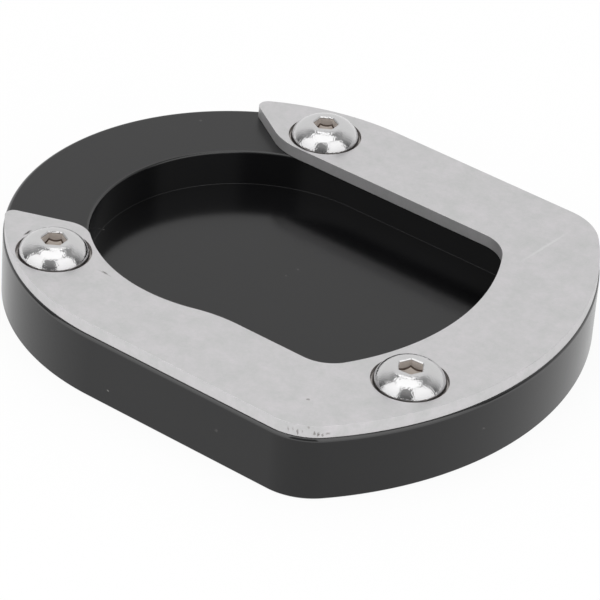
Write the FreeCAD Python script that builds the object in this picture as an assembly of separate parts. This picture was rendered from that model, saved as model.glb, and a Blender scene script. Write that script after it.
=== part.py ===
import FreeCAD, Part
import math
import os

# Kickstand foot enlarger.
# A thick base block has a pocket for the foot of a motorcycle's side stand. A C-shaped plate
# lies on the block, and its lip reaches over the pocket and traps the foot. The open mouth of
# the C lets the stand's leg out. Three button-head screws hold the plate down.
# Millimetres. The origin is the centre of the underside, X runs from the round heel to the
# flatter toe, the near side is at minus Y, and Z is up.

# Outline of the block, seen from above: heel and toe are arcs about one centre
HEEL_RADIUS = 33.0
TOE_RADIUS = 47.0
CORNER_RADIUS = 8.5

# Base block
BASE_HEIGHT = 9.3
BASE_TOP_BREAK = 0.5
BASE_UNDER_BREAK = 0.2

# Pocket for the stand's foot: its wall at the sides and the toe, and at the heel
POCKET_WALL = 11.1
POCKET_HEEL_WALL = 11.55
POCKET_DEPTH = 5.2
POCKET_CORNER_RADIUS = 6.0
POCKET_FLOOR_BEVEL = 0.1
POCKET_RIM_BREAK = 0.3

# Clamp plate
PLATE_THICKNESS = 1.8
PLATE_SET_BACK = 0.2
PLATE_TOP_BREAK = 0.1
PLATE_UNDER_BREAK = 0.05

# Lip of the plate over the pocket, and the relief where the foot slides in
LIP_REACH = 2.05
LIP_CORNER_RADIUS = 5.5
RELIEF_GAP = 0.1
RELIEF_BLEND_RADIUS = 20.0

# Mouth of the C: where each arm ends on the heel's arc, and which way its end is cut
NEAR_ARM_ANGLE = 216.6
NEAR_ARM_CUT = 21.5
NEAR_ARM_TIP_RADIUS = 4.0
NEAR_ARM_OUTER_RADIUS = 1.2
FAR_ARM_ANGLE = 127.7
FAR_ARM_CUT = -32.4
FAR_ARM_TIP_RADIUS = 9.0
FAR_ARM_OUTER_RADIUS = 1.4

# Button-head screws with a hexagon socket, size M5 by 10
SCREW_DIAMETER = 5.0
SCREW_LENGTH = 10.0
SCREW_TIP_CHAMFER = 0.7
HEAD_DIAMETER = 9.5
HEAD_HEIGHT = 2.75
HEAD_RIM_HEIGHT = 0.4
SOCKET_ACROSS_FLATS = 3.0
SOCKET_DEPTH = 1.05
SOCKET_POINT_ANGLE = 90.0
SOCKET_BREAK = 0.15

# Holes for the screws
COUNTERBORE_CLEARANCE = 0.3
COUNTERBORE_DEPTH = 0.7
PLATE_HOLE_CLEARANCE = 0.25
THREAD_CLEARANCE = 0.05
HOLE_MOUTH_BREAK = 0.5

# Places of the screws: edge distance of the head's centre, angle about the common centre,
# and the turn of the hexagon socket
NEAR_SCREW_EDGE = 5.6
NEAR_SCREW_ANGLE = 237.7
NEAR_SOCKET_TURN = 35.0
FAR_SCREW_EDGE = 6.85
FAR_SCREW_ANGLE = 105.4
FAR_SOCKET_TURN = 34.0
TOE_SCREW_EDGE = 6.8
TOE_SCREW_ANGLE = -21.3
TOE_SOCKET_TURN = 5.0

# Values worked out from the driving dimensions
CENTRE_X = (HEEL_RADIUS - TOE_RADIUS) / 2
POCKET_HEEL_SHIFT = POCKET_HEEL_WALL - POCKET_WALL
POCKET_FLOOR_Z = BASE_HEIGHT - POCKET_DEPTH
PLATE_TOP_Z = BASE_HEIGHT + PLATE_THICKNESS
HEAD_SEAT_Z = PLATE_TOP_Z - COUNTERBORE_DEPTH
LIP_INSET = POCKET_WALL + LIP_REACH
RELIEF_RADIUS = HEEL_RADIUS - POCKET_WALL + RELIEF_GAP
HEAD_RADIUS = HEAD_DIAMETER / 2
SHANK_RADIUS = SCREW_DIAMETER / 2
COUNTERBORE_RADIUS = HEAD_RADIUS + COUNTERBORE_CLEARANCE
PLATE_HOLE_RADIUS = SHANK_RADIUS + PLATE_HOLE_CLEARANCE
BASE_HOLE_RADIUS = SHANK_RADIUS + THREAD_CLEARANCE

UP = FreeCAD.Vector(0, 0, 1)
CENTRE = FreeCAD.Vector(CENTRE_X, 0, 0)
POCKET_CENTRE = FreeCAD.Vector(CENTRE_X + POCKET_HEEL_SHIFT, 0, 0)


def polar(radius, angle, z=0.0):
    """Point at a radius and an angle in degrees about the outline's common centre."""
    turn = math.radians(angle)
    return FreeCAD.Vector(CENTRE_X + radius * math.cos(turn), radius * math.sin(turn), z)


def arc(centre, radius, start, end):
    """Arc edge in the XY plane between two angles in degrees, anticlockwise."""
    circle = Part.Circle(centre, UP, radius)
    return Part.ArcOfCircle(circle, math.radians(start), math.radians(end)).toShape()


def line(start, end):
    """Straight edge between two points."""
    return Part.LineSegment(start, end).toShape()


def outline(inset, corner_radius, heel_shift=0.0):
    """Closed outline of the foot, moved inwards by inset, with its own corner radius.

    The arc of the heel can be shifted towards the toe.
    """
    side = HEEL_RADIUS - inset
    toe = TOE_RADIUS - inset
    corner_y = side - corner_radius
    corner_x = CENTRE_X + math.sqrt((toe - corner_radius) ** 2 - corner_y ** 2)
    toe_angle = math.degrees(math.atan2(corner_y, corner_x - CENTRE_X))
    far_corner = FreeCAD.Vector(corner_x, corner_y, 0)
    near_corner = FreeCAD.Vector(corner_x, -corner_y, 0)
    heel = FreeCAD.Vector(CENTRE_X + heel_shift, 0, 0)
    edges = [
        arc(heel, side, 90, 270),
        line(FreeCAD.Vector(heel.x, -side, 0), FreeCAD.Vector(corner_x, -side, 0)),
        arc(near_corner, corner_radius, 270, 360 - toe_angle),
        arc(CENTRE, toe, -toe_angle, toe_angle),
        arc(far_corner, corner_radius, toe_angle, 90),
        line(FreeCAD.Vector(corner_x, side, 0), FreeCAD.Vector(heel.x, side, 0)),
    ]
    return Part.Wire(edges)


def prism(wire, bottom, top):
    """Solid between two heights over a closed wire."""
    solid = Part.Face(wire).extrude(UP * (top - bottom))
    solid.translate(UP * bottom)
    return solid


def cylinder(place, radius, bottom, top):
    """Upright cylinder between two heights about a place."""
    foot = FreeCAD.Vector(place.x, place.y, bottom)
    return Part.makeCylinder(radius, top - bottom, foot, UP)


def flat_faces(solid, z):
    """Horizontal faces of a solid at one height, largest first."""
    flats = []
    for face in solid.Faces:
        box = face.BoundBox
        if box.ZLength < 1e-6 and abs(box.ZMin - z) < 1e-6:
            flats.append(face)
    return sorted(flats, key=lambda face: face.Area, reverse=True)


def upright_edge(solid, place):
    """Upright edge of a solid that stands nearest to a place."""
    def distance(edge):
        middle = edge.BoundBox.Center
        return math.hypot(middle.x - place.x, middle.y - place.y)

    uprights = []
    for edge in solid.Edges:
        box = edge.BoundBox
        if box.XLength < 1e-6 and box.YLength < 1e-6:
            uprights.append(edge)
    return min(uprights, key=distance)


def screws():
    """Name, centre and socket turn in degrees of each screw."""
    near = polar(HEEL_RADIUS - NEAR_SCREW_EDGE, NEAR_SCREW_ANGLE)
    far = polar(HEEL_RADIUS - FAR_SCREW_EDGE, FAR_SCREW_ANGLE)
    toe = polar(TOE_RADIUS - TOE_SCREW_EDGE, TOE_SCREW_ANGLE)
    return [
        ("screw_near_arm", near, NEAR_SOCKET_TURN),
        ("screw_far_arm", far, FAR_SOCKET_TURN),
        ("screw_toe", toe, TOE_SOCKET_TURN),
    ]


def base_block():
    """Block with the foot's pocket, its broken edges and three through holes for the thread."""
    block = prism(outline(0, CORNER_RADIUS), 0, BASE_HEIGHT)
    block = block.makeChamfer(BASE_UNDER_BREAK, flat_faces(block, 0)[0].OuterWire.Edges)
    block = block.makeChamfer(BASE_TOP_BREAK, flat_faces(block, BASE_HEIGHT)[0].OuterWire.Edges)
    pocket_wire = outline(POCKET_WALL, POCKET_CORNER_RADIUS, POCKET_HEEL_SHIFT)
    block = block.cut(prism(pocket_wire, POCKET_FLOOR_Z, PLATE_TOP_Z))
    floor = flat_faces(block, POCKET_FLOOR_Z)[0]
    block = block.makeChamfer(POCKET_FLOOR_BEVEL, floor.OuterWire.Edges)
    top = flat_faces(block, BASE_HEIGHT)[0]
    rim = min(top.Wires, key=lambda wire: wire.Length)
    block = block.makeChamfer(POCKET_RIM_BREAK, rim.Edges)
    mouth_radius = BASE_HOLE_RADIUS + HOLE_MOUTH_BREAK
    for name, place, turn in screws():
        block = block.cut(cylinder(place, BASE_HOLE_RADIUS, 0, BASE_HEIGHT))
        block = block.cut(Part.makeCone(mouth_radius, BASE_HOLE_RADIUS, HOLE_MOUTH_BREAK, place, UP))
    return block


def arm_end(angle, cut):
    """Point on the plate's heel arc where an arm ends, and the direction of its end inwards."""
    start = polar(HEEL_RADIUS - PLATE_SET_BACK, angle)
    turn = math.radians(cut)
    return start, FreeCAD.Vector(math.cos(turn), math.sin(turn), 0)


def meet_relief(start, heading):
    """First point of a ray on the circle of the relief."""
    offset = start - POCKET_CENTRE
    along = offset.dot(heading)
    reach = -along - math.sqrt(along ** 2 - offset.dot(offset) + RELIEF_RADIUS ** 2)
    return start + heading * reach


def clamp_plate():
    """C-shaped plate with a lip over the pocket, rounded arms and counterbored holes."""
    near_start, near_heading = arm_end(NEAR_ARM_ANGLE, NEAR_ARM_CUT)
    far_start, far_heading = arm_end(FAR_ARM_ANGLE, FAR_ARM_CUT)
    lip_side = HEEL_RADIUS - LIP_INSET
    near_tip = meet_relief(near_start, near_heading)
    far_tip = far_start + far_heading * ((lip_side - far_start.y) / far_heading.y)
    beyond = HEEL_RADIUS
    mouth = [
        FreeCAD.Vector(CENTRE_X, lip_side, 0),
        far_tip,
        far_start - far_heading * beyond,
        near_start - near_heading * beyond,
        near_tip + near_heading,
        CENTRE,
    ]
    mouth_wire = Part.makePolygon(mouth + mouth[:1])

    plate = prism(outline(PLATE_SET_BACK, CORNER_RADIUS - PLATE_SET_BACK), BASE_HEIGHT, PLATE_TOP_Z)
    plate = plate.cut(prism(outline(LIP_INSET, LIP_CORNER_RADIUS), BASE_HEIGHT, PLATE_TOP_Z))
    plate = plate.cut(near_relief())
    plate = plate.cut(prism(mouth_wire, BASE_HEIGHT, PLATE_TOP_Z))

    relief_reach = math.sqrt(RELIEF_RADIUS ** 2 - lip_side ** 2)
    relief_end = FreeCAD.Vector(POCKET_CENTRE.x + relief_reach, -lip_side, 0)
    corners = [
        (relief_end, RELIEF_BLEND_RADIUS),
        (near_tip, NEAR_ARM_TIP_RADIUS),
        (near_start, NEAR_ARM_OUTER_RADIUS),
        (far_tip, FAR_ARM_TIP_RADIUS),
        (far_start, FAR_ARM_OUTER_RADIUS),
    ]
    for place, radius in corners:
        plate = plate.makeFillet(radius, [upright_edge(plate, place)])

    under = flat_faces(plate, BASE_HEIGHT)[0]
    plate = plate.makeChamfer(PLATE_UNDER_BREAK, under.OuterWire.Edges)
    top = flat_faces(plate, PLATE_TOP_Z)[0]
    plate = plate.makeChamfer(PLATE_TOP_BREAK, top.OuterWire.Edges)
    for name, place, turn in screws():
        plate = plate.cut(cylinder(place, PLATE_HOLE_RADIUS, BASE_HEIGHT, PLATE_TOP_Z))
        plate = plate.cut(cylinder(place, COUNTERBORE_RADIUS, HEAD_SEAT_Z, PLATE_TOP_Z))
    return plate


def near_relief():
    """Half of a disc, as wide as the pocket, that takes the lip off the near side of the heel."""
    disc = cylinder(POCKET_CENTRE, RELIEF_RADIUS, BASE_HEIGHT, PLATE_TOP_Z)
    corner = FreeCAD.Vector(POCKET_CENTRE.x - RELIEF_RADIUS, -RELIEF_RADIUS, BASE_HEIGHT)
    near_half = Part.makeBox(2 * RELIEF_RADIUS, RELIEF_RADIUS, PLATE_THICKNESS, corner)
    return disc.common(near_half)


def screw(place, turn):
    """Button-head screw standing on its seat in the plate, turned about its own axis."""
    dome_radius = HEAD_HEIGHT - HEAD_RIM_HEIGHT
    flat_radius = HEAD_RADIUS - dome_radius
    halfway = dome_radius * math.sqrt(0.5)
    dome_middle = FreeCAD.Vector(flat_radius + halfway, 0, HEAD_RIM_HEIGHT + halfway)
    axis_foot = FreeCAD.Vector(0, 0, -SCREW_LENGTH)
    tip_edge = FreeCAD.Vector(SHANK_RADIUS - SCREW_TIP_CHAMFER, 0, -SCREW_LENGTH)
    tip_side = FreeCAD.Vector(SHANK_RADIUS, 0, -SCREW_LENGTH + SCREW_TIP_CHAMFER)
    neck = FreeCAD.Vector(SHANK_RADIUS, 0, 0)
    seat_edge = FreeCAD.Vector(HEAD_RADIUS, 0, 0)
    rim = FreeCAD.Vector(HEAD_RADIUS, 0, HEAD_RIM_HEIGHT)
    flat_edge = FreeCAD.Vector(flat_radius, 0, HEAD_HEIGHT)
    axis_top = FreeCAD.Vector(0, 0, HEAD_HEIGHT)
    profile = Part.Wire([
        line(axis_foot, tip_edge),
        line(tip_edge, tip_side),
        line(tip_side, neck),
        line(neck, seat_edge),
        line(seat_edge, rim),
        Part.Arc(rim, dome_middle, flat_edge).toShape(),
        line(flat_edge, axis_top),
        line(axis_top, axis_foot),
    ])
    body = Part.Face(profile).revolve(FreeCAD.Vector(0, 0, 0), UP, 360)
    body = body.cut(socket())
    rim_face = flat_faces(body, HEAD_HEIGHT)[0]
    mouth = min(rim_face.Wires, key=lambda wire: wire.Length)
    body = body.makeChamfer(SOCKET_BREAK, mouth.Edges)
    body.rotate(FreeCAD.Vector(0, 0, 0), UP, turn)
    body.translate(FreeCAD.Vector(place.x, place.y, HEAD_SEAT_Z))
    return body


def socket():
    """Hexagon socket of the head, whose corners reach down to the cone of a drill point."""
    corner_radius = SOCKET_ACROSS_FLATS / math.sqrt(3)
    corners = []
    for step in range(7):
        turn = math.radians(60 * step)
        corners.append(FreeCAD.Vector(corner_radius * math.cos(turn), corner_radius * math.sin(turn), 0))
    slope = math.tan(math.radians(SOCKET_POINT_ANGLE / 2))
    depth = SOCKET_DEPTH + corner_radius / slope
    hexagon = prism(Part.makePolygon(corners), HEAD_HEIGHT - depth, HEAD_HEIGHT)
    drill_point = Part.makeCone(0, depth * slope, depth, UP * (HEAD_HEIGHT - depth), UP)
    return hexagon.common(drill_point)


def write(name, shape):
    """Check one finished solid and write it as a STEP file."""
    solid = shape.Solids[0]
    print(name, "solids", len(shape.Solids), "valid", solid.isValid(), "volume", round(solid.Volume, 1))
    solid.exportStep(os.path.join("parts", name + ".step"))


def main():
    """Build every piece and write it."""
    os.makedirs("parts", exist_ok=True)
    write("base_block", base_block())
    write("clamp_plate", clamp_plate())
    for name, place, turn in screws():
        write(name, screw(place, turn))


main()
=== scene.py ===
import cmath
import logging
import math
from dataclasses import dataclass, field
from enum import Enum, IntEnum
from typing import Callable, NamedTuple

import bpy
import numpy as np
from mathutils import Matrix, Vector
from mathutils.geometry import tessellate_polygon


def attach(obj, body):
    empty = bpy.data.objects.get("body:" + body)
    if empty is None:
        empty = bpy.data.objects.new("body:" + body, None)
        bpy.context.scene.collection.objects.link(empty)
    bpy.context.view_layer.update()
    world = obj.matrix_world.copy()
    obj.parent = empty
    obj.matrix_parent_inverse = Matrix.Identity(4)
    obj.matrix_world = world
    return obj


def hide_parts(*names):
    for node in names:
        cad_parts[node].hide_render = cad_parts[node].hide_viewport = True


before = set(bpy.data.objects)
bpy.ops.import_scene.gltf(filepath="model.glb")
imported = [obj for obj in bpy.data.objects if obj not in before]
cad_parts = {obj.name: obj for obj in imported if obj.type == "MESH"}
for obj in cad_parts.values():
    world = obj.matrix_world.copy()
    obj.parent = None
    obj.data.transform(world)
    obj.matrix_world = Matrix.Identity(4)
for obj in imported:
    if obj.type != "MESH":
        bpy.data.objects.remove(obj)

# Kickstand foot enlarger: a black anodised block with a pocket for the stand's foot, a C-shaped
# stainless clamp plate on top of it and three button-head screws. Sizes are in millimetres, and
# places in plan are complex numbers, with X as the real part and Y as the imaginary one. An arc has
# at least LEAST_PER_TURN points to the circle, and an eased corner turns by at most WIDEST_TURN
# degrees from one point to the next.

MM = 0.001
LOG = logging.getLogger("foot_enlarger")
TURN = 2 * math.pi
LEAST_PER_TURN = 32
WIDEST_TURN = 9.0

Socket = bpy.types.NodeSocket
Triple = tuple[float, float, float]
Arrays = tuple[np.ndarray, np.ndarray]


def linear(colour: str) -> tuple[float, float, float, float]:
    """Turn an sRGB hex colour into the linear colour that a node takes.

    Args:
        colour: Colour as "#rrggbb".

    Returns:
        Linear red, green and blue, and an alpha of one.
    """
    parts = [int(colour[start:start + 2], 16) / 255 for start in (1, 3, 5)]
    made = [part / 12.92 if part <= 0.04045 else ((part + 0.055) / 1.055) ** 2.4 for part in parts]
    return made[0], made[1], made[2], 1.0


def per_metre(size: float) -> float:
    """Scale of a pattern whose features measure this many millimetres."""
    return 1000 / size


def add(tree: bpy.types.NodeTree, kind: str, inputs: dict | None = None, **settings) -> bpy.types.Node:
    """Add one node with its settings and its links.

    Args:
        tree: Node tree that gets the node.
        kind: Type of the node, without the word ShaderNode.
        inputs: Value or linked socket for each input, by its name or its number.
        settings: Attributes of the node.

    Returns:
        The new node.
    """
    made = tree.nodes.new("ShaderNode" + kind)
    for name, value in settings.items():
        setattr(made, name, value)
    for name, value in (inputs or {}).items():
        if isinstance(value, Socket):
            tree.links.new(value, made.inputs[name])
        else:
            made.inputs[name].default_value = value
    return made


# Outlines in plan


@dataclass(frozen=True)
class Run:
    """Straight side of an outline, travelled with the material on its left."""

    through: complex
    heading: complex

    def shifted(self, left: float) -> "Run":
        """The same side, moved to its left."""
        return Run(self.through + left * 1j * self.heading, self.heading)

    def foot(self, place: complex) -> complex:
        """Point of the side that is nearest to a place."""
        return self.through + ((place - self.through) * self.heading.conjugate()).real * self.heading

    def sample(self, start: complex, end: complex, step: float) -> Arrays:
        """Points from start to just before end, and the directions that face outwards there.

        Args:
            start: First point.
            end: Point that the next side begins with.
            step: Longest distance between two points.

        Returns:
            Points and outward directions.
        """
        count = max(1, math.ceil(abs(end - start) / step))
        points = start + (end - start) * np.arange(count) / count
        return points, np.full(count, -1j * self.heading)


@dataclass(frozen=True)
class Bow:
    """Arc of an outline: anticlockwise where it bulges outwards, clockwise where it is hollow."""

    centre: complex
    radius: float
    way: int = 1

    def shifted(self, left: float) -> "Bow":
        """The same arc, moved to the left of its travel."""
        return Bow(self.centre, self.radius - self.way * left, self.way)

    def foot(self, place: complex) -> complex:
        """Point of the full circle that is nearest to a place."""
        return self.centre + self.radius * (place - self.centre) / abs(place - self.centre)

    def sample(self, start: complex, end: complex, step: float) -> Arrays:
        """Points from start to just before end, and the directions that face outwards there.

        Args:
            start: First point.
            end: Point that the next side begins with, which may be start again.
            step: Longest distance between two points.

        Returns:
            Points and outward directions.
        """
        swept = (cmath.phase((end - self.centre) / (start - self.centre)) * self.way) % TURN or TURN
        count = max(3, math.ceil(swept * max(self.radius / step, LEAST_PER_TURN / TURN)))
        angles = self.way * swept * np.arange(count) / count
        spokes = (start - self.centre) / self.radius * np.exp(1j * angles)
        return self.centre + self.radius * spokes, self.way * spokes


Side = Run | Bow


def meeting(first: Side, second: Side, near: complex) -> complex:
    """Find where two sides cross.

    Args:
        first: One side, a straight one if only one of them is.
        second: The other side.
        near: Rough place, which picks one of two crossings.

    Returns:
        The crossing.
    """
    if isinstance(first, Bow):
        first, second = second, first
    if isinstance(second, Run):
        across = (first.heading.conjugate() * second.heading).imag
        gap = second.through - first.through
        return first.through + first.heading * (gap.conjugate() * second.heading).imag / across
    foot = first.foot(second.centre)
    half = math.sqrt(second.radius ** 2 - abs(foot - second.centre) ** 2) * first.heading
    return min(foot + half, foot - half, key=lambda place: abs(place - near))


@dataclass(frozen=True)
class Corner:
    """How one side of an outline goes over into the next: at a rough place, with a radius."""

    near: complex
    radius: float = 0.0
    way: int = 1


@dataclass
class Outline:
    """Closed outline, anticlockwise: points, and the directions that face outwards there."""

    points: np.ndarray
    normals: np.ndarray

    @classmethod
    def traced(cls, sides: list[Side], corners: list[Corner], step: float) -> "Outline":
        """Join sides through their corners.

        Args:
            sides: Sides in their order, anticlockwise.
            corners: The corner after each side.
            step: Longest distance between two points.

        Returns:
            The sampled outline.
        """
        starts, ends, bows = [None] * len(sides), [], []
        for number, (side, corner) in enumerate(zip(sides, corners)):
            following = (number + 1) % len(sides)
            centre, bow = corner.near, None
            if corner.radius:
                left = corner.way * corner.radius
                centre = meeting(side.shifted(left), sides[following].shifted(left), corner.near)
                bow = Bow(centre, corner.radius, corner.way)
            ends.append(side.foot(centre))
            starts[following] = sides[following].foot(centre)
            bows.append(bow)
        rows: list[Arrays] = []
        for number, side in enumerate(sides):
            rows.append(side.sample(starts[number], ends[number], step))
            if bows[number]:
                rows.append(bows[number].sample(ends[number], starts[(number + 1) % len(sides)], step))
        return cls(np.concatenate([row[0] for row in rows]), np.concatenate([row[1] for row in rows]))

    @classmethod
    def circle(cls, centre: complex, radius: float, count: int) -> "Outline":
        """Circle of a number of points."""
        spokes = np.exp(1j * TURN * np.arange(count) / count)
        return cls(centre + radius * spokes, spokes)


@dataclass(frozen=True)
class Bend:
    """Corner of a section: how far outside the outline, how high, and the radius it is eased with.

    The eased corner can have a finish of its own.
    """

    out: float
    height: float
    radius: float = 0.05
    finish: int | None = None


class SectionPoint(NamedTuple):
    """Point of an eased section: its place, where the surface faces, and the finish from there on."""

    out: float
    height: float
    outward: float
    upward: float
    finish: int


def eased(bends: list[Bend], finish: int, degrees: float = WIDEST_TURN) -> list[SectionPoint]:
    """Ease the corners of a section, which is travelled with the material on its left.

    Args:
        bends: Corners in their order. The first and the last are ends and stay as they are.
        finish: Number of the finish where a corner has none of its own.
        degrees: Widest turn between two points of an eased corner.

    Returns:
        The section's points.
    """
    places = [complex(bend.out, bend.height) for bend in bends]
    headings = [(end - start) / abs(end - start) for start, end in zip(places, places[1:])]
    rows: list[tuple[complex, complex, int]] = [(places[0], headings[0], finish)]
    for bend, place, before, after in zip(bends[1:-1], places[1:-1], headings, headings[1:]):
        turn = cmath.phase(after / before)
        back = bend.radius * math.tan(abs(turn) / 2)
        side = 1j * math.copysign(bend.radius, turn)
        centre = place - before * back + before * side
        count = max(2, math.ceil(abs(math.degrees(turn)) / degrees))
        for step in range(count + 1):
            heading = before * cmath.exp(1j * turn * step / count)
            own = finish if bend.finish is None or step == count else bend.finish
            rows.append((centre - heading * side, heading, own))
    rows.append((places[-1], headings[-1], finish))
    return [SectionPoint(place.real, place.imag, heading.imag, -heading.real, own)
            for place, heading, own in rows]


# Meshes


class Shell:
    """Mesh under construction, whose points know which way the true surface faces."""

    def __init__(self) -> None:
        """Start empty."""
        self.places: list[np.ndarray] = []
        self.facing: list[np.ndarray] = []
        self.faces: list[tuple[int, ...]] = []
        self.finishes: list[int] = []
        self.count = 0

    def ring(self, points: np.ndarray, height: np.ndarray | float, out: np.ndarray,
             rise: np.ndarray | float) -> np.ndarray:
        """Add points.

        Args:
            points: Places in plan.
            height: Height of the points.
            out: Part in plan of the direction that each point faces.
            rise: Upward part of it.

        Returns:
            Numbers of the new points.
        """
        ones = np.ones(len(points))
        self.places.append(np.stack([points.real, points.imag, height * ones], 1))
        self.facing.append(np.stack([out.real, out.imag, rise * ones], 1))
        self.count += len(points)
        return np.arange(self.count - len(points), self.count)

    def bridge(self, lower: np.ndarray, upper: np.ndarray, finish: int) -> None:
        """Join two rings of as many points with faces.

        Args:
            lower: Numbers of one ring's points.
            upper: Numbers of the other's, which lies on the left of the first as seen from outside.
            finish: Number of the finish.
        """
        following = np.roll(np.arange(len(lower)), -1)
        quads = np.stack([lower, lower[following], upper[following], upper], 1)
        self.faces.extend(map(tuple, quads.tolist()))
        self.finishes.extend([finish] * len(quads))

    def loft(self, outline: Outline, bends: list[Bend], finish: int,
             degrees: float = WIDEST_TURN) -> Arrays:
        """Carry a section around an outline.

        Args:
            outline: Outline in plan.
            bends: Corners of the section.
            finish: Number of the finish.
            degrees: Widest turn between two points of an eased corner.

        Returns:
            Numbers of the first ring's points and of the last ring's.
        """
        section = eased(bends, finish, degrees)
        rings = [
            self.ring(outline.points + outline.normals * point.out, point.height,
                      outline.normals * point.outward, point.upward)
            for point in section
        ]
        for lower, upper, point in zip(rings, rings[1:], section):
            self.bridge(lower, upper, point.finish)
        return rings[0], rings[-1]

    def sheet(self, rings: list[np.ndarray], up: bool, finish: int) -> None:
        """Close a flat between rings: the first is its outside, the others are holes in it.

        Args:
            rings: Numbers of the rings' points.
            up: Whether the flat faces up.
            finish: Number of the finish.
        """
        places = np.concatenate(self.places)
        numbers = np.concatenate(rings)
        loops = [[Vector((place[0], place[1], 0)) for place in places[ring]] for ring in rings]
        flat = places[numbers][:, :2]
        for first, second, third in tessellate_polygon(loops):
            ahead, aside = flat[second] - flat[first], flat[third] - flat[first]
            risen = ahead[0] * aside[1] - ahead[1] * aside[0] > 0
            order = (first, second, third) if risen == up else (first, third, second)
            self.faces.append(tuple(int(numbers[corner]) for corner in order))
            self.finishes.append(finish)

    def point(self, ring: np.ndarray, place: complex, height: float, finish: int) -> None:
        """Close a ring in one point that faces straight up.

        Args:
            ring: Numbers of the ring's points.
            place: Place of the point in plan.
            height: Height of the point.
            finish: Number of the finish.
        """
        tip = int(self.ring(np.array([place]), height, np.array([0j]), 1.0)[0])
        for first, second in zip(ring, np.roll(ring, -1)):
            self.faces.append((int(first), int(second), tip))
            self.finishes.append(finish)

    def finished(self, name: str, finishes: list[bpy.types.Material]) -> bpy.types.Object:
        """Make the object.

        Args:
            name: Name of the piece.
            finishes: Materials by their numbers.

        Returns:
            The object, with its surface directions set from the true shape.
        """
        mesh = bpy.data.meshes.new(name)
        places, facing = np.concatenate(self.places), np.concatenate(self.facing)
        mesh.from_pydata((places * MM).tolist(), [], self.faces)
        for finish in finishes:
            mesh.materials.append(finish)
        mesh.polygons.foreach_set("material_index", self.finishes)
        mesh.polygons.foreach_set("use_smooth", [True] * len(mesh.polygons))
        facing = facing / np.linalg.norm(facing, axis=1)[:, None]
        mesh.normals_split_custom_set_from_vertices(facing.tolist())
        mesh.update()
        piece = bpy.data.objects.new(name, mesh)
        bpy.context.scene.collection.objects.link(piece)
        return piece


@dataclass(frozen=True)
class Helix:
    """Metric thread, rolled on the screws and tapped in the block."""

    centre: complex
    outer_radius: float = 2.5
    depth: float = 0.48
    pitch: float = 0.8
    root_share: float = 0.125
    flank_share: float = 0.625
    count: int = 72
    rows_per_turn: int = 10

    def radius(self, height: np.ndarray | float, angle: np.ndarray) -> np.ndarray:
        """Radius of the thread.

        Args:
            height: Height in the part's frame.
            angle: Angles about the axis.

        Returns:
            The radius at each angle.
        """
        phase = (height / self.pitch - angle / TURN) % 1.0
        flank = np.clip((np.abs(phase - 0.5) * 2 - self.root_share) / self.flank_share, 0, 1)
        return self.outer_radius - self.depth * (1 - flank)

    def wall(self, shell: Shell, start: np.ndarray, end: np.ndarray, heights: tuple[float, float],
             limits: Callable[[float, np.ndarray], np.ndarray], way: int, finish: int) -> None:
        """Add the threaded wall between two rings.

        Args:
            shell: Mesh that gets it.
            start: Ring that the wall starts from.
            end: Ring that it ends in.
            heights: Heights of both rings.
            limits: Turns a height and the thread's radii there into the wall's radii.
            way: 1 where the material is inside the wall, -1 where it is outside.
            finish: Number of the finish.
        """
        angles = TURN * np.arange(self.count) / self.count
        spokes = np.exp(1j * angles)
        rows = math.ceil(abs(heights[1] - heights[0]) / self.pitch * self.rows_per_turn)
        levels = np.linspace(heights[0], heights[1], rows + 1)[1:-1]
        small, twist = self.pitch / 200, 0.01

        def radii(level: float, turned: np.ndarray) -> np.ndarray:
            """Radii of the wall at a height."""
            return limits(level, self.radius(level, turned))

        before = start
        for level in levels:
            along = (radii(level + small, angles) - radii(level - small, angles)) / (2 * small)
            around = (radii(level, angles + twist) - radii(level, angles - twist)) / (2 * twist)
            size = radii(level, angles)
            out = way * (spokes - 1j * spokes * around / size)
            ring = shell.ring(self.centre + spokes * size, level, out, -way * along)
            shell.bridge(before, ring, finish)
            before = ring
        shell.bridge(before, end, finish)


# Finishes


class Cut(Enum):
    """How each surface of the block was machined before anodising: its roughness and its IOR.

    The broken edge mirrors the most, because the oxide is thin there and the tool left it smooth.
    """

    WALL = (0.20, 1.45)
    TOP = (0.30, 1.43)
    POCKET_FLOOR = (0.165, 1.42)
    BROKEN_EDGE = (0.10, 1.75)
    POCKET_WALL = (0.20, 1.6)

    @property
    def number(self) -> int:
        """Number of its finish among the block's."""
        return list(Cut).index(self)


class PlateFace(IntEnum):
    """Number of each finish of the plate."""

    SHEET = 0
    EDGE = 1
    SEAT = 2


class ScrewFace(IntEnum):
    """Number of each finish of a screw."""

    HEAD = 0
    SOCKET = 1
    THREAD = 2
    SOCKET_FLOOR = 3
    SOCKET_CORNER = 4


@dataclass(frozen=True)
class Mark:
    """Scratch, stain, speck, painted shade or painted reflection that lies in a surface.

    It is an ellipsoid in the part's frame: its middle, its half sizes, its turn in degrees
    about the upright axis, its colour and the share of that colour at its middle.
    """

    middle: Triple
    half: Triple
    turn: float
    colour: str
    share: float

    def laid(self, tree: bpy.types.NodeTree, place: Socket, colour: Socket) -> Socket:
        """Lay the mark over a colour.

        Args:
            tree: Node tree of the material.
            place: Place in the part's frame, in metres.
            colour: Colour below the mark.

        Returns:
            The colour with the mark on it.
        """
        local = add(tree, "Mapping", {
            "Vector": place, "Location": [size * MM for size in self.middle],
            "Rotation": (0, 0, math.radians(self.turn)), "Scale": [size * MM for size in self.half]},
            vector_type="TEXTURE")
        away = add(tree, "VectorMath", {0: local.outputs[0]}, operation="LENGTH")
        share = add(tree, "MapRange", {
            "Value": away.outputs["Value"], "From Min": 1.0, "From Max": 0.4,
            "To Min": 0.0, "To Max": self.share})
        return add(tree, "Mix", {0: share.outputs[0], 6: colour, 7: linear(self.colour)},
                   data_type="RGBA").outputs[2]


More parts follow.
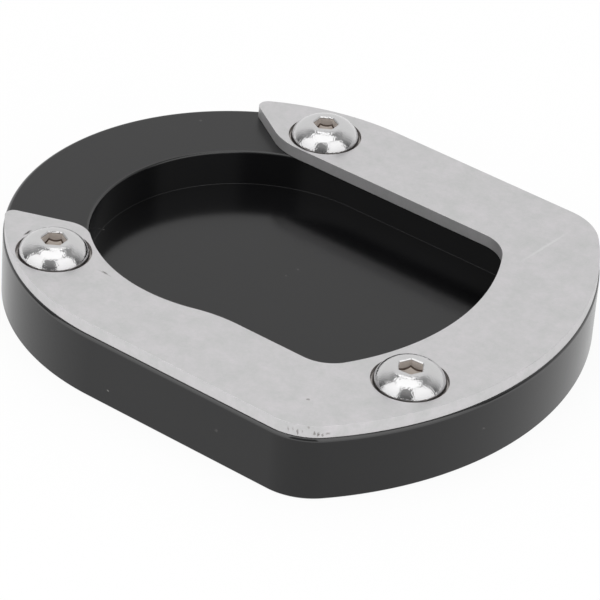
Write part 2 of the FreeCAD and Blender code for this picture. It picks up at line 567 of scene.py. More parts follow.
PLATE_MARKS_AND_PAINTED_REFLECTION = (
    Mark((-13.3, -22.57, 11.1), (1.4, 0.13, 0.3), 0.0, "#8f8d8b", 0.6),
    Mark((-13.46, -22.42, 11.1), (0.55, 0.15, 0.3), -6.0, "#6f6d6b", 0.95),
    # Painted reflection: dark dash beside the near screw's counterbore, standing for the dark reflection at
    # the edge of the head's dome.
    Mark((-27.12, -22.17, 11.1), (0.24, 0.95, 0.3), 3.0, "#4d4a48", 0.95),
    Mark((23.76, -26.9, 11.1), (0.32, 0.22, 0.3), 30.0, "#8b8785", 0.75),
    Mark((25.05, 23.0, 11.1), (0.28, 6.2, 0.3), -2.5, "#e6e7e7", 0.35),
)
EDGE_MARKS = (
    Mark((25.00, -32.45, 10.16), (0.12, 0.40, 0.45), 0.0, "#8f8b88", 0.6),
    Mark((25.60, -32.25, 10.30), (0.10, 0.40, 0.35), 0.0, "#8f8b88", 0.5),
    Mark((26.16, -32.02, 10.00), (0.13, 0.40, 0.55), 0.0, "#77726f", 0.75),
    Mark((26.70, -31.75, 10.15), (0.10, 0.40, 0.35), 0.0, "#8f8b88", 0.55),
    Mark((27.31, -31.38, 10.90), (0.14, 0.30, 0.22), 0.0, "#8f8b88", 0.6),
    Mark((27.95, -30.91, 10.10), (0.13, 0.40, 0.40), 0.0, "#77726f", 0.75),
    Mark((28.34, -30.58, 9.90), (0.14, 0.40, 0.45), 0.0, "#6f6a68", 0.8),
    Mark((28.71, -30.22, 9.80), (0.12, 0.40, 0.30), 0.0, "#77726f", 0.75),
    Mark((29.15, -29.72, 10.00), (0.35, 0.25, 0.20), 45.0, "#807b78", 0.65),
)
BLOCK_SPECKS_AND_PAINTED_SHADE = (
    Mark((-3.50, -33.0, 2.5), (0.22, 0.2, 0.16), 0.0, "#b9b7b4", 0.35),
    Mark((14.30, -33.0, 4.87), (0.3, 0.2, 0.25), 0.0, "#8a8886", 0.12),
    Mark((39.01, -9.63, 5.1), (0.3, 0.3, 0.22), 0.0, "#8a8886", 0.14),
    Mark((-30.84, 18.62, 9.3), (0.32, 0.32, 0.2), 0.0, "#8a8886", 0.16),
    Mark((-27.34, -6.1, 4.1), (0.2, 0.2, 0.2), 0.0, "#8a8886", 0.3),
    Mark((-2.13, 2.1, 4.1), (0.25, 0.2, 0.2), 0.0, "#8a8886", 0.10),
    Mark((-1.87, 4.43, 4.1), (0.25, 0.2, 0.2), 0.0, "#8a8886", 0.10),
    # Painted shade for a real nick: black where the nick breaks the highlight of the broken edge.
    Mark((22.49, -33.0, 8.96), (0.14, 0.3, 0.2), 0.0, "#000000", 0.9),
)


@dataclass(frozen=True)
class Finish:
    """Finish of a surface, whose patterns are sized in millimetres and fixed to the part.

    Clouds shift its colour, a fine grain gives its roughness and its relief, and marks lie in it.
    The stretch draws the grain out along an axis.
    """

    name: str
    colour: str
    cloud: str
    cloud_mm: float
    cloud_detail: float
    cloud_roughness: float
    roughness: float
    spread: float
    grain_mm: float
    grain_detail: float
    grain_height: float
    grain_depth_mm: float
    metallic: float
    stretch: Triple = (1.0, 1.0, 1.0)
    marks: tuple[Mark, ...] = ()

    def material(self) -> bpy.types.Material:
        """Make the material.

        Returns:
            The material, whose patterns follow the part's frame.
        """
        made = bpy.data.materials.new(self.name)
        made.use_nodes = True
        tree = made.node_tree
        tree.nodes.clear()
        place = add(tree, "TexCoord").outputs["Object"]
        shader = add(tree, "BsdfPrincipled", self.inputs(tree, place))
        add(tree, "OutputMaterial", {"Surface": shader.outputs[0]})
        return made

    def inputs(self, tree: bpy.types.NodeTree, place: Socket) -> dict:
        """Make the patterns.

        Args:
            tree: Node tree of the material.
            place: Place in the part's frame, in metres.

        Returns:
            Inputs of the shader: sockets for what varies and values for the rest.
        """
        drawn = add(tree, "VectorMath", {0: place, 1: [1 / share for share in self.stretch]},
                    operation="MULTIPLY")
        grain = add(tree, "TexNoise", {
            "Vector": drawn.outputs[0], "Scale": per_metre(self.grain_mm),
            "Detail": self.grain_detail}).outputs["Fac"]
        rough = add(tree, "MapRange", {
            "Value": grain, "To Min": self.roughness - self.spread, "To Max": self.roughness + self.spread})
        relief = add(tree, "Bump", {
            "Height": grain, "Strength": self.grain_height, "Distance": self.grain_depth_mm * MM})
        return {"Base Color": self.coloured(tree, place), "Roughness": rough.outputs[0],
                "Normal": relief.outputs[0], "Metallic": self.metallic}

    def coloured(self, tree: bpy.types.NodeTree, place: Socket) -> Socket:
        """Make the clouded colour with its marks.

        Args:
            tree: Node tree of the material.
            place: Place in the part's frame, in metres.

        Returns:
            The colour.
        """
        clouds = add(tree, "TexNoise", {
            "Vector": place, "Scale": per_metre(self.cloud_mm), "Detail": self.cloud_detail,
            "Roughness": self.cloud_roughness})
        colour = add(tree, "Mix", {0: clouds.outputs["Fac"], 6: linear(self.colour), 7: linear(self.cloud)},
                     data_type="RGBA").outputs[2]
        frayed = self.frayed(tree, place) if self.marks else place
        for mark in self.marks:
            colour = mark.laid(tree, frayed, colour)
        return colour

    def frayed(self, tree: bpy.types.NodeTree, place: Socket) -> Socket:
        """Make a place wander by 0.1 mm, so that the outline of a mark is uneven.

        Args:
            tree: Node tree of the material.
            place: Place in the part's frame, in metres.

        Returns:
            The place that wanders.
        """
        # The noise keeps to a quarter of its range on each side, so 0.4 mm moves a place by 0.1 mm
        noise = add(tree, "TexNoise", {"Vector": place, "Scale": per_metre(0.35), "Detail": 2.0})
        moved = add(tree, "VectorMath", {0: noise.outputs["Color"], 1: (0.5, 0.5, 0.5)},
                    operation="SUBTRACT")
        sized = add(tree, "VectorMath", {0: moved.outputs[0], "Scale": 0.4 * MM}, operation="SCALE")
        return add(tree, "VectorMath", {0: place, 1: sized.outputs[0]}, operation="ADD").outputs[0]


@dataclass(frozen=True)
class BlackAnodisedAluminium(Finish):
    """Milled aluminium, etched and anodised black.

    The dyed oxide is nearly black, and what the eye sees of it is a soft reflection of the room.
    The dye is clouded by about a tenth. The etched grain is drawn at 0.15 mm, coarser than the
    real one of about 0.03 mm, so that it shows.
    """

    colour: str = "#080809"
    cloud: str = "#0c0c0d"
    cloud_mm: float = 7.0
    cloud_detail: float = 3.0
    cloud_roughness: float = 0.5
    spread: float = 0.03
    grain_mm: float = 0.15
    grain_detail: float = 2.0
    grain_height: float = 0.05
    grain_depth_mm: float = 0.02
    metallic: float = 0.0
    marks: tuple[Mark, ...] = BLOCK_SPECKS_AND_PAINTED_SHADE
    roughness: float = Cut.WALL.value[0]
    ior: float = Cut.WALL.value[1]

    @classmethod
    def after(cls, cut: Cut) -> "BlackAnodisedAluminium":
        """The finish on a surface that was machined this way."""
        roughness, ior = cut.value
        return cls("black_anodised_aluminium_" + cut.name.lower(), roughness=roughness, ior=ior)

    def inputs(self, tree: bpy.types.NodeTree, place: Socket) -> dict:
        """Inputs of the shader, with the oxide's IOR."""
        return super().inputs(tree, place) | {"IOR": self.ior}


@dataclass(frozen=True)
class Stainless(Finish):
    """Stainless steel: a neutral grey metal, whose grain and polish follow how it was worked.

    Its grain is drawn a few times coarser than the real one, so that it shows.
    """

    colour: str = "#dfdade"
    cloud: str = "#b9bdba"
    cloud_mm: float = 3.0
    cloud_detail: float = 5.0
    cloud_roughness: float = 0.85
    roughness: float = 0.38
    spread: float = 0.05
    grain_mm: float = 0.22
    grain_detail: float = 3.0
    grain_height: float = 0.25
    grain_depth_mm: float = 0.01
    metallic: float = 1.0


@dataclass(frozen=True)
class TumbledSheet(Stainless):
    """Sheet after tumbling in stones: matt and neutral, so the plate looks like pale grey paper."""

    marks: tuple[Mark, ...] = PLATE_MARKS_AND_PAINTED_REFLECTION


@dataclass(frozen=True)
class BlankedEdge(Stainless):
    """Edge that the blanking tool sheared: rough upright streaks 0.3 mm apart."""

    roughness: float = 0.52
    grain_mm: float = 0.3
    grain_height: float = 0.5
    stretch: Triple = (1.0, 1.0, 5.0)
    marks: tuple[Mark, ...] = EDGE_MARKS


@dataclass(frozen=True)
class TurnedSeatPaintedShade(Stainless):
    """Counterbore left by a turning cutter, coloured slightly darker as painted shade for the shaded recess
    round the head.
    """

    # Painted shade: darker than the sheet, for the shade in the recess round the head.
    colour: str = "#bebab7"
    cloud: str = "#aeaaa8"
    roughness: float = 0.35


@dataclass(frozen=True)
class PolishedHead(Stainless):
    """Screw head polished in a drum: mirror-like, with the fine orange peel of cold forming."""

    colour: str = "#d2d2d3"
    cloud: str = "#cdcccc"
    roughness: float = 0.10
    spread: float = 0.03
    grain_mm: float = 0.19
    grain_height: float = 1.0
    grain_depth_mm: float = 0.019
    grain_detail: float = 0.0


@dataclass(frozen=True)
class PunchedSocket(Stainless):
    """Hexagon socket as punched: duller and warmer, with faint level rings from the punch."""

    colour: str = "#e6e0dc"
    cloud: str = "#cfc8c2"
    cloud_mm: float = 0.6
    roughness: float = 0.70
    grain_mm: float = 0.12
    grain_height: float = 0.35
    stretch: Triple = (8.0, 8.0, 1.0)


@dataclass(frozen=True)
class SocketFloor(Stainless):
    """Floor of the socket: rough metal with a brown tint from the forming oil."""

    colour: str = "#bdb5ae"
    cloud: str = "#a0978f"
    cloud_mm: float = 0.5
    roughness: float = 0.55


@dataclass(frozen=True)
class SocketCornerPaintedShade(Stainless):
    """Narrow step between the socket's walls and its floor, coloured dark brown as painted shade for the
    crease there.
    """

    colour: str = "#5d5049"
    cloud: str = "#463c37"
    roughness: float = 0.55


@dataclass(frozen=True)
class RolledThread(Stainless):
    """Thread rolled into the shank: bright flanks that the polishing hardly touched."""

    colour: str = "#bdbbb8"
    cloud: str = "#b5b3b0"
    roughness: float = 0.24


# Pieces


@dataclass(frozen=True)
class FootShape:
    """Outline of the foot, which the block, its pocket and the plate's lip all follow."""

    heel_radius: float = 33.0
    toe_radius: float = 47.0
    corner_radius: float = 8.5
    step: float = 0.35

    @property
    def centre(self) -> complex:
        """Common centre of the heel's arc and the toe's."""
        return complex((self.heel_radius - self.toe_radius) / 2, 0)

    def polar(self, radius: float, degrees: float) -> complex:
        """Place at a radius and an angle about the common centre."""
        return self.centre + radius * cmath.exp(1j * math.radians(degrees))

    def corner(self, inset: float) -> complex:
        """Rough place of the far corner of an inset outline."""
        side = self.heel_radius - inset
        return self.centre + complex(math.sqrt((self.toe_radius - inset) ** 2 - side ** 2), side)

    def outline(self, inset: float, corner_radius: float, heel_shift: float = 0.0) -> Outline:
        """Outline of the foot, moved inwards.

        Args:
            inset: How far inwards.
            corner_radius: Radius of the toe's corners.
            heel_shift: How far the heel's arc is shifted towards the toe.

        Returns:
            The closed outline.
        """
        side = self.heel_radius - inset
        corner, heel = self.corner(inset), self.centre + heel_shift
        sides = [
            Bow(heel, side),
            Run(heel - 1j * side, 1),
            Bow(self.centre, self.toe_radius - inset),
            Run(heel + 1j * side, -1),
        ]
        corners = [
            Corner(heel - 1j * side),
            Corner(corner.conjugate(), corner_radius),
            Corner(corner, corner_radius),
            Corner(heel + 1j * side),
        ]
        return Outline.traced(sides, corners, self.step)


@dataclass(frozen=True)
class ScrewPlace:
    """Where one screw stands: the outline's arc, the distance from it, the angle, the socket's turn."""

    name: str
    arc_radius: float
    edge: float
    angle: float
    socket_turn: float

    def centre(self, foot: FootShape) -> complex:
        """Place of the axis in plan."""
        return foot.polar(self.arc_radius - self.edge, self.angle)


SCREWS = (
    ScrewPlace("screw_near_arm", FootShape.heel_radius, 5.6, 237.7, 35.0),
    ScrewPlace("screw_far_arm", FootShape.heel_radius, 6.85, 105.4, 34.0),
    ScrewPlace("screw_toe", FootShape.toe_radius, 6.8, -21.3, 5.0),
)


@dataclass
class BaseBlock:
    """Thick block with the foot's pocket and three tapped holes.

    The strips are the narrow parts of a flat that go with an eased edge, for level shading.
    """

    foot: FootShape = field(default_factory=FootShape)
    height: float = 9.3
    top_break: float = 0.5
    under_break: float = 0.2
    pocket_wall: float = 11.1
    pocket_heel_wall: float = 11.55
    pocket_depth: float = 5.2
    pocket_corner_radius: float = 6.0
    floor_bevel: float = 0.03
    rim_break: float = 0.3
    hole_radius: float = 2.55
    hole_break: float = 0.03
    mouth_break: float = 0.5
    thread_start: float = 0.5
    thread_end: float = 0.35
    thread_depth: float = 0.48
    under_strip: float = 0.2
    strip: float = 0.05
    hole_strip: float = 0.06

    def build(self, finishes: list[bpy.types.Material]) -> bpy.types.Object:
        """Build the block's mesh.

        Args:
            finishes: Materials in the order of Cut.

        Returns:
            The piece.
        """
        shell = Shell()
        top, floor = self.height, self.height - self.pocket_depth
        outside = self.foot.outline(0, self.foot.corner_radius)
        under, rim = shell.loft(outside, [
            Bend(-self.under_break - self.under_strip, 0), Bend(-self.under_break, 0),
            Bend(0, self.under_break), Bend(0, top, self.top_break, Cut.BROKEN_EDGE.number),
            Bend(-self.top_break - self.strip, top)], Cut.WALL.number)
        heel_shift = self.pocket_heel_wall - self.pocket_wall
        pocket = self.foot.outline(self.pocket_wall, self.pocket_corner_radius, heel_shift)
        mouth, edge = shell.loft(pocket, [
            Bend(self.rim_break + self.strip, top), Bend(0, top, self.rim_break),
            Bend(0, floor, self.floor_bevel), Bend(-self.floor_bevel - self.strip, floor)],
            Cut.POCKET_WALL.number)
        shell.sheet([edge], True, Cut.POCKET_FLOOR.number)
        tops, bottoms = [], []
        for screw in SCREWS:
            upper, lower = self.hole(shell, screw.centre(self.foot))
            tops.append(upper)
            bottoms.append(lower)
        shell.sheet([rim, mouth] + tops, True, Cut.TOP.number)
        shell.sheet([under] + bottoms, False, Cut.TOP.number)
        return shell.finished("block", finishes)

    def hole(self, shell: Shell, centre: complex) -> Arrays:
        """Add one tapped hole.

        Args:
            shell: Mesh that gets it.
            centre: Place of its axis.

        Returns:
            Rings of its upper edge and of its mouth in the underside.
        """
        thread = Helix(centre, self.hole_radius, self.thread_depth)
        circle = Outline.circle(centre, self.hole_radius, thread.count)
        finish = Cut.WALL.number
        begin, end = self.height - self.thread_start, self.thread_end
        upper, start = shell.loft(circle, [
            Bend(self.hole_strip, self.height), Bend(0, self.height, self.hole_break),
            Bend(0, begin)], finish)
        last, lower = shell.loft(circle, [
            Bend(self.mouth_break - end, end), Bend(self.mouth_break, 0),
            Bend(self.mouth_break + self.hole_strip, 0)], finish)

        def opened(level: float, radii: np.ndarray) -> np.ndarray:
            """Open the thread's radii to the cone of the mouth."""
            cone = self.hole_radius + self.mouth_break - level
            return np.maximum(radii, cone)

        thread.wall(shell, start, last, (begin, end), opened, -1, finish)
        return upper, lower


@dataclass
class ClampPlate:
    """C-shaped plate, whose lip reaches over the pocket, with three counterbored holes."""

    foot: FootShape = field(default_factory=FootShape)
    bottom: float = BaseBlock.height
    thickness: float = 1.8
    set_back: float = 0.2
    top_break: float = 0.04
    under_break: float = 0.12
    pocket_wall: float = BaseBlock.pocket_wall
    pocket_heel_wall: float = BaseBlock.pocket_heel_wall
    lip_reach: float = 2.05
    lip_corner_radius: float = 5.5
    relief_gap: float = 0.1
    relief_blend_radius: float = 20.0
    near_arm_angle: float = 216.6
    near_arm_cut: float = 21.5
    near_arm_tip_radius: float = 4.0
    near_arm_outer_radius: float = 1.2
    far_arm_angle: float = 127.7
    far_arm_cut: float = -32.4
    far_arm_tip_radius: float = 9.0
    far_arm_outer_radius: float = 1.4
    counterbore_radius: float = 5.05
    counterbore_depth: float = 0.7
    counterbore_break: float = 0.02
    seat_corner_radius: float = 0.08
    hole_radius: float = 2.75
    hole_break: float = 0.06
    strip: float = 0.03
    under_strip: float = 0.05
    counterbore_points: int = 144

    def outline(self) -> Outline:
        """Trace the C, round the outside and back along the lip.

        Returns:
            The closed outline.
        """
        foot, centre = self.foot, self.foot.centre
        outer = foot.heel_radius - self.set_back
        inset = self.pocket_wall + self.lip_reach
        lip = foot.heel_radius - inset
        relief = foot.heel_radius - self.pocket_wall + self.relief_gap
        pocket_centre = centre + self.pocket_heel_wall - self.pocket_wall
        near_start = foot.polar(outer, self.near_arm_angle)
        far_start = foot.polar(outer, self.far_arm_angle)
        near_heading = cmath.exp(1j * math.radians(self.near_arm_cut))
        far_heading = cmath.exp(1j * math.radians(self.far_arm_cut))
        near_end, far_end = Run(near_start, -near_heading), Run(far_start, far_heading)
        lip_far, lip_near = Run(centre + 1j * lip, 1), Run(centre - 1j * lip, -1)
        heel, hollow = Bow(centre, outer), Bow(pocket_centre, relief, -1)
        sides = [
            heel, Run(centre - 1j * outer, 1), Bow(centre, foot.toe_radius - self.set_back),
            Run(centre + 1j * outer, -1), heel, far_end, lip_far, Bow(centre, foot.toe_radius - inset, -1),
            lip_near, hollow, near_end,
        ]
        corner, lip_corner = foot.corner(self.set_back), foot.corner(inset)
        corner_radius = foot.corner_radius - self.set_back
        corners = [
            Corner(centre - 1j * outer),
            Corner(corner.conjugate(), corner_radius),
            Corner(corner, corner_radius),
            Corner(centre + 1j * outer),
            Corner(far_start, self.far_arm_outer_radius),
            Corner(meeting(far_end, lip_far, centre), self.far_arm_tip_radius),
            Corner(lip_corner, self.lip_corner_radius, -1),
            Corner(lip_corner.conjugate(), self.lip_corner_radius, -1),
            Corner(meeting(lip_near, hollow, centre + lip), self.relief_blend_radius),
            Corner(meeting(near_end, hollow, near_start), self.near_arm_tip_radius),
            Corner(near_start, self.near_arm_outer_radius),
        ]
        return Outline.traced(sides, corners, foot.step)

    def build(self, finishes: list[bpy.types.Material]) -> bpy.types.Object:
        """Build the plate's mesh.

        Args:
            finishes: Materials in the order of PlateFace.

        Returns:
            The piece.
        """
        shell = Shell()
        top, bottom = self.bottom + self.thickness, self.bottom
        under, rim = shell.loft(self.outline(), [
            Bend(-self.under_break - self.under_strip, bottom), Bend(0, bottom, self.under_break),
            Bend(0, top, self.top_break), Bend(-self.top_break - self.strip, top)], PlateFace.EDGE)
        tops, bottoms = [], []
        for screw in SCREWS:
            seat = top - self.counterbore_depth
            step = self.hole_radius - self.counterbore_radius
            centre = screw.centre(self.foot)
            circle = Outline.circle(centre, self.counterbore_radius, self.counterbore_points)
            upper, lower = shell.loft(circle, [
                Bend(self.counterbore_break * 1.1, top), Bend(0, top, self.counterbore_break),
                Bend(0, seat, self.seat_corner_radius), Bend(step, seat, self.hole_break),
                Bend(step, bottom, self.hole_break), Bend(step + self.hole_break + 0.02, bottom)],
                PlateFace.SEAT)
            tops.append(upper)
            bottoms.append(lower)
        shell.sheet([rim] + tops, True, PlateFace.SHEET)
        shell.sheet([under] + bottoms, False, PlateFace.SHEET)
        return shell.finished("plate", finishes)


@dataclass
class ButtonScrew:
    """Button-head screw with a hexagon socket, size M5 by 10."""

    place: ScrewPlace
    foot: FootShape = field(default_factory=FootShape)
    seat: float = ClampPlate.bottom + ClampPlate.thickness - ClampPlate.counterbore_depth
    length: float = 10.0
    shank_radius: float = Helix.outer_radius
    tip_chamfer: float = 0.7
    head_radius: float = 4.75
    head_height: float = 2.75
    head_turn: float = 3.0
    under_break: float = 0.08
    rim_height: float = 0.4
    rim_break: float = 0.03
    dome_slope: float = 80.0
    across_flats: float = 3.0
    socket_depth: float = 1.05
    socket_corner: float = 0.12
    point_angle: float = 90.0
    corner_share: float = 0.9
    socket_break: float = 0.15
    socket_collar: float = 0.1
    neck_radius: float = 2.2
    neck_fillet: float = 0.15
    tip_step: float = 0.15
    tip_strip: float = 0.1
    strip: float = 0.03
    under_strip: float = 0.2
    head_points: int = 160

    def socket_outline(self, centre: complex) -> Outline:
        """Trace the hexagon of the socket, with its corners eased.

        Args:
            centre: Place of the axis.

        Returns:
            The closed outline.
        """
        turn = math.radians(self.place.socket_turn)
        flats = [cmath.exp(1j * (turn + TURN / 12 + TURN / 6 * number)) for number in range(6)]
        sides = [Run(centre + flat * self.across_flats / 2, 1j * flat) for flat in flats]
        reach = self.across_flats / math.sqrt(3)
        corners = [Corner(centre + reach * flat * cmath.exp(1j * TURN / 12), self.socket_corner)
                   for flat in flats]
        return Outline.traced(sides, corners, 0.2)

    def build(self, finishes: list[bpy.types.Material]) -> bpy.types.Object:
        """Build the screw's mesh.

        Args:
            finishes: Materials in the order of ScrewFace.

        Returns:
            The piece.
        """
        shell = Shell()
        centre = self.place.centre(self.foot)
        top, tip = self.seat + self.head_height, self.seat - self.length
        dome, slope = self.head_height - self.rim_height, math.radians(self.dome_slope)
        back = dome / math.tan(slope)
        reach = dome / math.sin(slope) - 0.02
        head = Outline.circle(centre, self.head_radius, self.head_points)
        under, crown = shell.loft(head, [
            Bend(-self.under_strip, self.seat), Bend(0, self.seat, self.under_break),
            Bend(0, self.seat + self.rim_height, self.rim_break),
            Bend(-back, top, reach / math.tan(slope / 2)), Bend(-back - reach - self.strip, top)],
            ScrewFace.HEAD, self.head_turn)
        shell.sheet([crown, self.socket(shell, centre, top)], True, ScrewFace.HEAD)
        self.shank(shell, under, centre, tip)
        return shell.finished(self.place.name + "_polished", finishes)

    def socket(self, shell: Shell, centre: complex, top: float) -> np.ndarray:
        """Add the hexagon socket, whose corners reach down to the cone of a drill point.

        Args:
            shell: Mesh that gets it.
            centre: Place of the axis.
            top: Height of the head's top.

        Returns:
            Ring of its mouth.
        """
        outline = self.socket_outline(centre)
        mouth, wall = shell.loft(outline, [
            Bend(self.socket_break + self.strip, top), Bend(self.socket_break, top, self.strip),
            Bend(0, top - self.socket_break, self.strip),
            Bend(0, top - self.socket_break - self.socket_collar)], ScrewFace.HEAD)
        spokes = outline.points - centre
        rise = 1 / math.tan(math.radians(self.point_angle / 2))
        apex = top - self.socket_depth - self.across_flats / math.sqrt(3) * rise
        inwards = -spokes / np.abs(spokes) * rise
        end = apex + np.abs(spokes) * rise + self.strip
        lower = shell.ring(outline.points, end, -outline.normals, 0.0)
        shell.bridge(wall, lower, ScrewFace.SOCKET)
        for share in (0.98, self.corner_share, 0.6, 0.3, 0.1):
            around = spokes * share
            ring = shell.ring(centre + around, apex + np.abs(around) * rise, inwards, 1.0)
            # The ring next to the walls carries the painted shade of the crease between walls and floor.
            in_corner = share >= self.corner_share
            shell.bridge(lower, ring, ScrewFace.SOCKET_CORNER if in_corner else ScrewFace.SOCKET_FLOOR)
            lower = ring
        shell.point(lower, centre, apex, ScrewFace.SOCKET_FLOOR)
        return mouth

    def shank(self, shell: Shell, under: np.ndarray, centre: complex, tip: float) -> None:
        """Add the threaded shank below the head.

        Args:
            shell: Mesh that gets it.
            under: Outer ring of the head's underside.
            centre: Place of the axis.
            tip: Height of the screw's tip.
        """
        thread = Helix(centre, self.shank_radius)
        shank = Outline.circle(centre, self.neck_radius, thread.count)
        neck_end = self.seat - thread.pitch
        neck, collar = shell.loft(shank, [
            Bend(0, neck_end), Bend(0, self.seat, self.neck_fillet), Bend(self.under_strip, self.seat)],
            ScrewFace.THREAD)
        tip_radius = self.shank_radius - self.tip_chamfer - self.neck_radius
        thread_end = tip + self.tip_step
        end, begin = shell.loft(shank, [
            Bend(tip_radius - self.tip_strip, tip), Bend(tip_radius, tip),
            Bend(tip_radius + self.tip_step, thread_end)], ScrewFace.THREAD)
        slope = self.neck_radius + tip_radius - tip

        def limited(level: float, radii: np.ndarray) -> np.ndarray:
            """Fade the thread's radii out at the neck and into the chamfer at the tip."""
            fading = min(1.0, max(0.0, (neck_end - level) / self.tip_chamfer))
            sized = self.neck_radius + (radii - self.neck_radius) * fading
            return np.minimum(sized, slope + level)

        thread.wall(shell, begin, neck, (thread_end, neck_end), limited, 1, ScrewFace.THREAD)
        shell.sheet([end], False, ScrewFace.THREAD)
        shell.sheet([under, collar], False, ScrewFace.HEAD)


# Studio


class Face(Enum):
    """Shape of a softbox's face, with the share of its box that the face fills."""

    RECTANGLE = 1.0
    ELLIPSE = math.pi / 4


@dataclass(frozen=True)
class Softbox:
    """Softbox whose face is evenly lit.

    It hangs at a place in metres and faces the upright axis of the part, or straight down where it
    is overhead. A level of 1 is white. The tall ones have a bright middle of their own.
    """

    name: str
    place: Triple
    size: tuple[float, float]
    level: float
    overhead: bool = False
    face: Face = Face.RECTANGLE

    def hang(self) -> None:
        """Hang the softbox, unseen by the camera."""
        data = bpy.data.lights.new(self.name, "AREA")
        data.shape = self.face.name
        data.size, data.size_y = self.size
        data.energy = self.level * self.size[0] * self.size[1] * self.face.value * math.pi
        aim = Vector((0, 0, -1) if self.overhead else (-self.place[0], -self.place[1], 0))
        turn = aim.to_track_quat("-Z", "Y").to_matrix().to_4x4()
        lamp = bpy.data.objects.new(self.name, data)
        lamp.matrix_world = Matrix.Translation(self.place) @ turn
        lamp.visible_camera = False
        bpy.context.scene.collection.objects.link(lamp)


# The reflections on the screws show where the softboxes hang and how large they are.
SOFTBOXES = (
    Softbox("softbox_left", (-0.394, -0.919, 0.76), (1.07, 1.56), 1.1),
    Softbox("softbox_left_middle", (-0.394, -0.919, 0.76), (0.98, 1.44), 1.6),
    Softbox("softbox_right", (0.987, -0.163, 0.84), (1.24, 1.68), 1.1),
    Softbox("softbox_right_middle", (0.987, -0.163, 0.84), (1.15, 1.56), 1.6),
    Softbox("softbox_above", (0.02, -0.19, 1.2), (1.26, 1.26), 1.2, True, Face.ELLIPSE),
    Softbox("softbox_behind", (-0.43, 0.56, 1.2), (0.46, 0.32), 1.4, True),
)


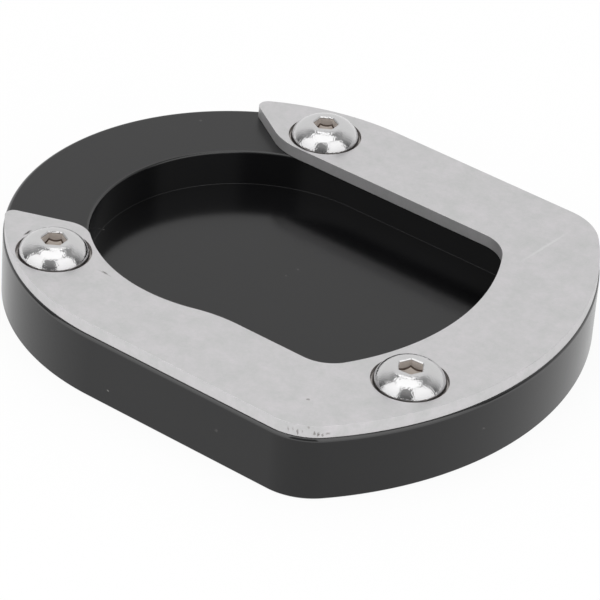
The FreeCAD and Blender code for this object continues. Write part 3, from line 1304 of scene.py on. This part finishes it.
@dataclass
class Studio:
    """Plain studio: a pale floor, softboxes at both sides, overhead and behind, and a pale wall.

    Heights and sides of the room are given as parts of a unit direction.
    """

    camera_azimuth: float = 35.685
    camera_elevation: float = 33.373
    camera_roll: float = 4.340
    camera_distance: float = 505.65
    camera_lens: float = 224.56
    sensor_width: float = 36.0
    target: Triple = (-0.704, 3.794, 0.0)
    floor_size: float = 6.0
    floor_gap: float = 0.02
    floor_glow: float = 0.92
    low_room_level: float = 0.13
    high_room_level: float = 0.36
    room_heights: tuple[float, float] = (0.1, 0.7)
    wall_level: float = 0.91
    wall_direction: Triple = (-0.51, 0.86, 0.0)
    wall_sides: tuple[float, float] = (0.05, 0.62)
    wall_tops: tuple[float, float] = (0.70, 0.84)

    def camera(self) -> None:
        """Place the camera as the photograph's stood."""
        azimuth, elevation = math.radians(self.camera_azimuth), math.radians(self.camera_elevation)
        back = Vector((math.sin(azimuth) * math.cos(elevation), -math.cos(azimuth) * math.cos(elevation),
                       math.sin(elevation)))
        data = bpy.data.cameras.new("camera")
        data.sensor_width = self.sensor_width
        data.lens = self.camera_lens
        data.clip_start, data.clip_end = 0.01, 50.0
        camera = bpy.data.objects.new("camera", data)
        roll = Matrix.Rotation(math.radians(self.camera_roll), 3, "Z")
        turn = back.to_track_quat("Z", "Y").to_matrix() @ roll
        place = Matrix.Translation((Vector(self.target) + back * self.camera_distance) * MM)
        camera.matrix_world = place @ turn.to_4x4()
        bpy.context.scene.collection.objects.link(camera)
        bpy.context.scene.camera = camera

    def room(self) -> None:
        """Light the rest of the room: dim, with a pale wall behind the object."""
        world = bpy.data.worlds.new("room")
        bpy.context.scene.world = world
        world.use_nodes = True
        tree = world.node_tree
        tree.nodes.clear()
        place = add(tree, "TexCoord").outputs["Generated"]
        height = add(tree, "SeparateXYZ", {0: place})
        room = self.graded(tree, height.outputs["Z"], self.room_heights, self.low_room_level,
                           self.high_room_level)
        towards = add(tree, "VectorMath", {0: place, 1: self.wall_direction}, operation="DOT_PRODUCT")
        wall = self.graded(tree, height.outputs["Z"], self.wall_tops, self.wall_level, room)
        level = self.graded(tree, towards.outputs["Value"], self.wall_sides, room, wall)
        light = add(tree, "Background", {"Color": linear("#ffffff"), "Strength": level})
        add(tree, "OutputWorld", {"Surface": light.outputs[0]})

    def graded(self, tree: bpy.types.NodeTree, value: Socket, span: tuple[float, float],
               low: Socket | float, high: Socket | float) -> Socket:
        """Go from one level to another while a value crosses a span.

        Args:
            tree: Node tree of the room.
            value: The value.
            span: Where the change starts and ends.
            low: Level before the span.
            high: Level after it.

        Returns:
            The level.
        """
        return add(tree, "MapRange", {
            "Value": value, "From Min": span[0], "From Max": span[1],
            "To Min": low, "To Max": high}).outputs[0]

    def floor(self) -> None:
        """Lay the pale floor, white to the eye and in reflections, with the object's soft shadow.

        It lies just below the part and isn't seen from beneath.
        """
        half, low = self.floor_size / 2, -self.floor_gap * MM
        mesh = bpy.data.meshes.new("floor")
        corners = [(-half, -half, low), (half, -half, low), (half, half, low), (-half, half, low)]
        mesh.from_pydata(corners, [], [(0, 1, 2, 3)])
        made = bpy.data.materials.new("pale_floor")
        made.use_nodes = True
        tree = made.node_tree
        tree.nodes.clear()
        path = add(tree, "LightPath").outputs
        seen = add(tree, "Math", {0: path["Is Camera Ray"], 1: path["Is Glossy Ray"]}, operation="MAXIMUM")
        shown = add(tree, "Math", {0: seen.outputs[0], 1: path["Is Transmission Ray"]}, operation="MAXIMUM")
        share = add(tree, "Math", {0: shown.outputs[0], 1: self.floor_glow}, operation="MULTIPLY")
        matt = add(tree, "BsdfDiffuse", {"Color": linear("#f2f2f2")})
        glow = add(tree, "Emission", {"Color": linear("#ffffff"), "Strength": 1.0})
        mixed = add(tree, "MixShader", {0: share.outputs[0], 1: matt.outputs[0], 2: glow.outputs[0]})
        beneath = add(tree, "NewGeometry").outputs["Backfacing"]
        clear = add(tree, "BsdfTransparent")
        sided = add(tree, "MixShader", {0: beneath, 1: mixed.outputs[0], 2: clear.outputs[0]})
        add(tree, "OutputMaterial", {"Surface": sided.outputs[0]})
        mesh.materials.append(made)
        floor = bpy.data.objects.new("floor", mesh)
        bpy.context.scene.collection.objects.link(floor)

    def build(self) -> None:
        """Set up the camera, the lamps, the room and the floor."""
        self.camera()
        for softbox in SOFTBOXES:
            softbox.hang()
        self.room()
        self.floor()
        bpy.context.scene.view_settings.view_transform = "Standard"


def settle(piece: bpy.types.Object, node: str) -> None:
    """Tie a built piece to the part.

    Args:
        piece: The piece.
        node: Solid that it stands for.
    """
    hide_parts(node)
    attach(piece, "root")
    LOG.info("%s stands for %s with %d faces", piece.name, node, len(piece.data.polygons))


def main() -> None:
    """Build the pieces and the studio."""
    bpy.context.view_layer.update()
    blacks = [BlackAnodisedAluminium.after(cut).material() for cut in Cut]
    settle(BaseBlock().build(blacks), "base_block")
    plate = {
        PlateFace.SHEET: TumbledSheet("stainless_sheet"),
        PlateFace.EDGE: BlankedEdge("stainless_edge"),
        PlateFace.SEAT: TurnedSeatPaintedShade("stainless_seat"),
    }
    settle(ClampPlate().build([plate[face].material() for face in PlateFace]), "clamp_plate")
    screw = {
        ScrewFace.HEAD: PolishedHead("stainless_head"),
        ScrewFace.SOCKET: PunchedSocket("stainless_socket"),
        ScrewFace.THREAD: RolledThread("stainless_thread"),
        ScrewFace.SOCKET_FLOOR: SocketFloor("stainless_socket_floor"),
        ScrewFace.SOCKET_CORNER: SocketCornerPaintedShade("stainless_socket_corner"),
    }
    metals = [screw[face].material() for face in ScrewFace]
    for place in SCREWS:
        settle(ButtonScrew(place).build(metals), place.name)
    Studio().build()


if __name__ == "__main__":
    logging.basicConfig(level=logging.INFO, format="%(message)s")
    main()
